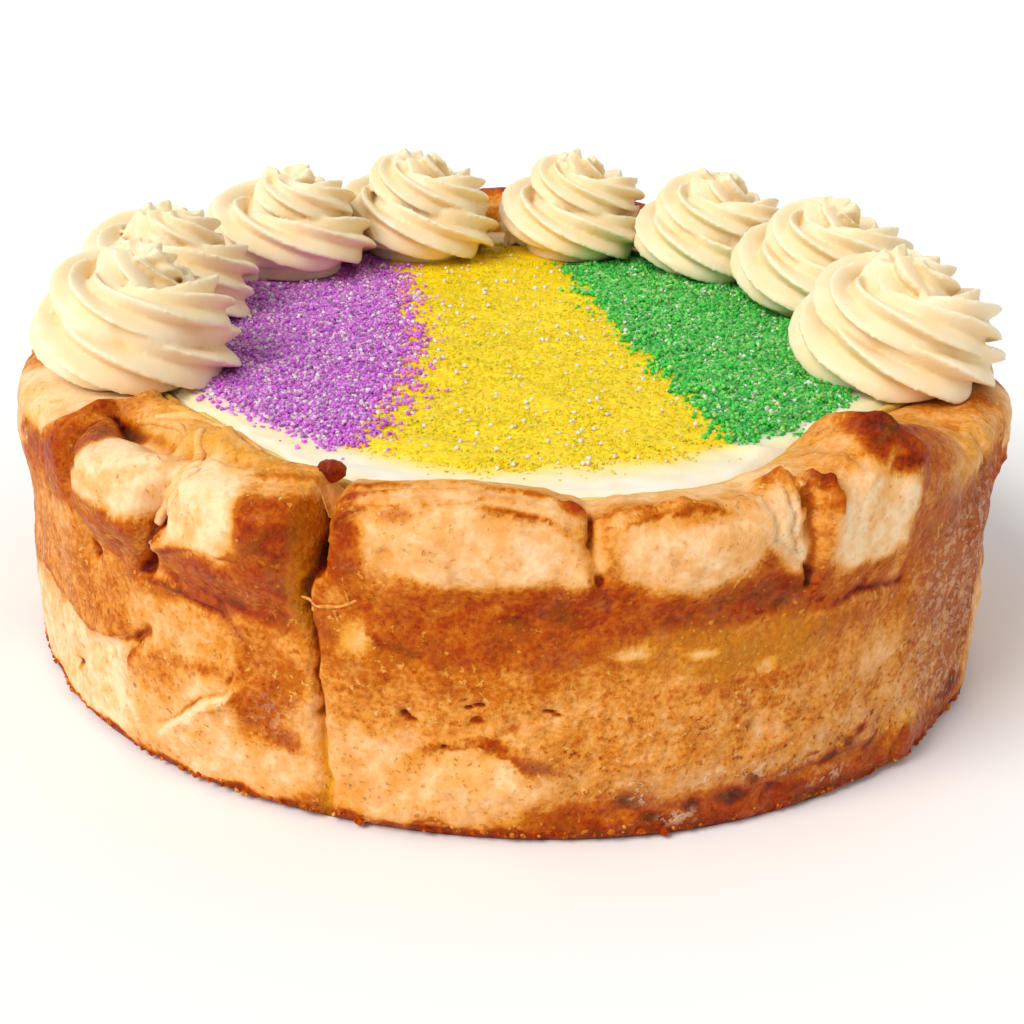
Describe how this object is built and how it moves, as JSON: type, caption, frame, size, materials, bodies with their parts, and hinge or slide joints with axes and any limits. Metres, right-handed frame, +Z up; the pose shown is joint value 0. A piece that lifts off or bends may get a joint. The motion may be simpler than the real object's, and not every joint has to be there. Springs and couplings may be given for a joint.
{
  "type": "king cake cheesecake",
  "caption": "Round cheesecake baked in a folded cinnamon dough case, topped with white icing, strips of coloured sugar and piped rosettes round the back and sides.",
  "frame": {"origin": "centre of the flat base, on the surface it rests on", "axes": "+Z up through the cake; -Y towards the open front arc of the rosette ring; +X to the right seen from the front"},
  "size_m": [0.2324, 0.2415, 0.0968],
  "materials": {
    "baked_dough": "baked sweet dough, golden brown with darker toasted folds and pale soft faces, slight egg-wash sheen",
    "cheesecake": "set custard-like cheesecake, smooth and slightly glossy, pale yellow",
    "white_icing": "soft white icing with purple, yellow and green sugar crystals",
    "buttercream": "piped ivory buttercream, satin and slightly translucent"
  },
  "bodies": {
    "root": {"crust": "baked_dough", "cheesecake_filling": "cheesecake", "icing": "white_icing", "rosette_1": "buttercream", "rosette_2": "buttercream", "rosette_3": "buttercream", "rosette_4": "buttercream", "rosette_5": "buttercream", "rosette_6": "buttercream", "rosette_7": "buttercream", "rosette_8": "buttercream"}
  },
  "joints": []
}
